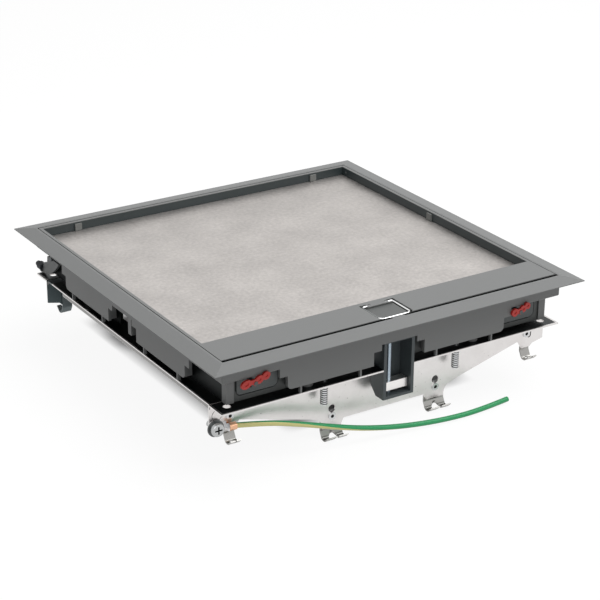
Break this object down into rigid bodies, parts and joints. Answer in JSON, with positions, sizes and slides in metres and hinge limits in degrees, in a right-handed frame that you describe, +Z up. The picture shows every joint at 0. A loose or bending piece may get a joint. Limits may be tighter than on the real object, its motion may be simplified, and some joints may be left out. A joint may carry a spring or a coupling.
{
  "type": "floor socket box",
  "caption": "Square floor socket box with a hinged recessed lid, wire bail, corner locks, sheet-metal support and earth wire.",
  "frame": {"origin": "centre of the box at the level its feet stand on", "axes": "+X right along the front, +Y to the back where the lid is hinged, +Z up"},
  "size_m": [0.264, 0.264, 0.075],
  "materials": {
    "frame_plastic": "fine satin, iron grey",
    "lug_plastic": "satin, iron grey",
    "lock_plastic": "satin, slate grey",
    "latch_plastic": "satin, iron grey",
    "claw_plastic": "satin, grey",
    "slate_plastic": "satin, dark slate",
    "galvanised_sheet": "galvanised, softly mottled",
    "galvanised_support": "bright galvanised",
    "spring_steel": "bright spring steel",
    "zinc_rivets": "zinc",
    "zinc_screws": "zinc",
    "chrome_wire": "bright",
    "clamp_metal": "bright cast metal",
    "copper": "copper",
    "seal_rubber": "matt black",
    "knob_rubber": "matt black",
    "lever_red": "red, half gloss",
    "wire_insulation": "green with a yellow stripe, half gloss"
  },
  "bodies": {
    "frame": {"back_angle": "galvanised_support", "clamp_housing": "slate_plastic", "claw_pin_left": "zinc_screws", "claw_pin_right": "zinc_screws", "clip_rivets_back": "zinc_rivets", "clip_rivets_front": "zinc_rivets", "crimp_lug": "copper", "earth_screw": "zinc_screws", "earth_washer": "zinc_screws", "earth_wire": "wire_insulation", "frame_body": "frame_plastic", "front_angle": "galvanised_support", "hinge_pin_left": "zinc_screws", "hinge_pin_right": "zinc_screws", "hook_clips_back_inner": "spring_steel", "hook_clips_back_outer": "spring_steel", "hook_clips_front_inner": "spring_steel", "hook_clips_front_outer": "spring_steel", "levelling_screws": "zinc_screws", "lever_pin_back_left": "lock_plastic", "lever_pin_back_right": "lock_plastic", "lever_pin_front_left": "lock_plastic", "lever_pin_front_right": "lock_plastic", "lid_seal": "seal_rubber", "lock_plate_back_left": "lock_plastic", "lock_plate_back_right": "lock_plastic", "lock_plate_front_left": "lock_plastic", "lock_plate_front_right": "lock_plastic", "side_rail_left": "galvanised_support", "side_rail_right": "galvanised_support", "support_screws": "zinc_screws"},
    "lid": {"lid_frame": "frame_plastic", "lid_sheet": "galvanised_sheet", "sheet_lugs": "lug_plastic", "latch_spring": "spring_steel"},
    "bail": {"bail_handle": "chrome_wire"},
    "latch": {"latch_bolt": "latch_plastic"},
    "spindle": {"clamp_spindle": "zinc_screws"},
    "nut_plate": {"clamp_plate": "clamp_metal"},
    "claw_left": {"rear_claw_left": "claw_plastic", "claw_knob_left": "knob_rubber"},
    "claw_right": {"rear_claw_right": "claw_plastic", "claw_knob_right": "knob_rubber"},
    "lever_front_left": {"lock_lever_front_left": "lever_red"},
    "lever_front_right": {"lock_lever_front_right": "lever_red"},
    "lever_back_left": {"lock_lever_back_left": "lever_red"},
    "lever_back_right": {"lock_lever_back_right": "lever_red"}
  },
  "joints": [
    {"name": "lid_hinge", "type": "hinge", "parent": "frame", "child": "lid", "pos_m": [0, 0.113, 0.072], "axis": [-1, 0, 0], "range_deg": [0, 105]},
    {"name": "bail_turn", "type": "hinge", "parent": "lid", "child": "bail", "pos_m": [0, -0.097, 0.0741], "axis": [-1, 0, 0], "range_deg": [0, 95]},
    {"name": "latch_slide", "type": "slide", "parent": "lid", "child": "latch", "axis": [0, 1, 0], "range_m": [0, 0.0035], "deforming": ["latch_spring"]},
    {"name": "spindle_turn", "type": "hinge", "parent": "frame", "child": "spindle", "pos_m": [-0.0033, -0.1152, 0.045], "axis": [0, 0, 1], "range_deg": [0, 3600]},
    {"name": "nut_plate_slide", "type": "slide", "parent": "frame", "child": "nut_plate", "axis": [0, 0, 1], "range_m": [0, 0.008]},
    {"name": "claw_left_swing", "type": "hinge", "parent": "frame", "child": "claw_left", "pos_m": [-0.118, 0.1038, 0.0588], "axis": [1, 0, 0], "range_deg": [0, 25]},
    {"name": "claw_right_swing", "type": "hinge", "parent": "frame", "child": "claw_right", "pos_m": [0.118, 0.1038, 0.0588], "axis": [1, 0, 0], "range_deg": [0, 25]},
    {"name": "lever_front_left_turn", "type": "hinge", "parent": "frame", "child": "lever_front_left", "pos_m": [-0.1005, -0.12255, 0.0581], "axis": [0, -1, 0], "range_deg": [0, 35]},
    {"name": "lever_front_right_turn", "type": "hinge", "parent": "frame", "child": "lever_front_right", "pos_m": [0.0899, -0.12255, 0.0581], "axis": [0, -1, 0], "range_deg": [0, 35]},
    {"name": "lever_back_left_turn", "type": "hinge", "parent": "frame", "child": "lever_back_left", "pos_m": [-0.0899, 0.12255, 0.0581], "axis": [0, 1, 0], "range_deg": [0, 35]},
    {"name": "lever_back_right_turn", "type": "hinge", "parent": "frame", "child": "lever_back_right", "pos_m": [0.1005, 0.12255, 0.0581], "axis": [0, 1, 0], "range_deg": [0, 35]}
  ],
  "couplings": [
    {"joint": "latch_slide", "follows": "bail_turn", "m_per_rad": 0.0021},
    {"joint": "spindle_turn", "follows": "nut_plate_slide", "rad_per_m": 7854}
  ]
}
